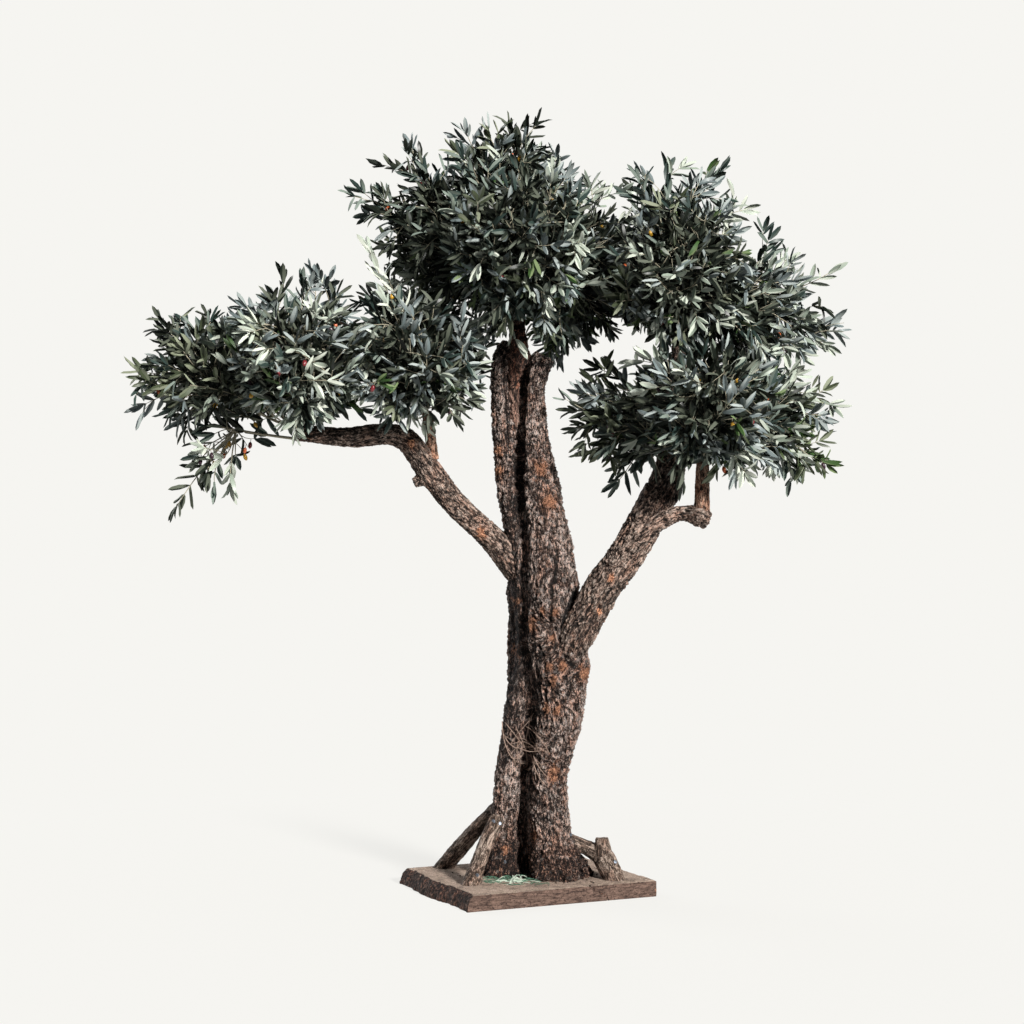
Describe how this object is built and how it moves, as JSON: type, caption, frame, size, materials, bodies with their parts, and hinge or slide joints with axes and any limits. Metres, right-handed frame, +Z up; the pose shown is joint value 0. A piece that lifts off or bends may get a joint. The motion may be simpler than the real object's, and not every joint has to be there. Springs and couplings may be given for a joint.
{
  "type": "artificial olive tree",
  "caption": "Artificial olive tree with a gnarled bark trunk, two spreading boughs and a broad flat-layered crown, standing on a waney-edged wooden plank with short wooden braces.",
  "frame": {"origin": "centre of the flat underside of the plank that the tree stands on", "axes": "+Z up; +X to the right and -Y towards the viewer at the tree's front, with the crown spread along X; the plank is turned 25 degrees about Z"},
  "size_m": [1.8859, 1.0851, 2.0093],
  "materials": {
    "bark": "rough furrowed bark, dark brown with rust patches",
    "stick": "smooth-barked sticks, dull",
    "plank": "weathered sawn plank, unsealed",
    "dry_twig": "dry thin twigs",
    "foliage": "artificial leaves, dull sheen, dark and grey green"
  },
  "bodies": {
    "root": {"arm_right": "bark", "bough_left_inner": "bark", "bough_left_outer": "bark", "bough_right": "bark", "brace_left_back": "stick", "brace_left_front": "stick", "brace_right": "stick", "dry_twigs": "dry_twig", "foliage_left_droop": "foliage", "foliage_left_inner_back": "foliage", "foliage_left_inner_front": "foliage", "foliage_left_mid_back": "foliage", "foliage_left_mid_front": "foliage", "foliage_left_tip": "foliage", "foliage_lower_right_back": "foliage", "foliage_lower_right_front": "foliage", "foliage_lower_right_inner": "foliage", "foliage_lower_right_outer": "foliage", "foliage_top_back": "foliage", "foliage_top_crown": "foliage", "foliage_top_front": "foliage", "foliage_top_left": "foliage", "foliage_top_right": "foliage", "foliage_upper_right_back": "foliage", "foliage_upper_right_front": "foliage", "foliage_upper_right_outer": "foliage", "leader": "bark", "peg_left": "stick", "peg_left_tip": "stick", "peg_right": "stick", "plank_base": "plank", "trunk": "bark"}
  },
  "joints": []
}
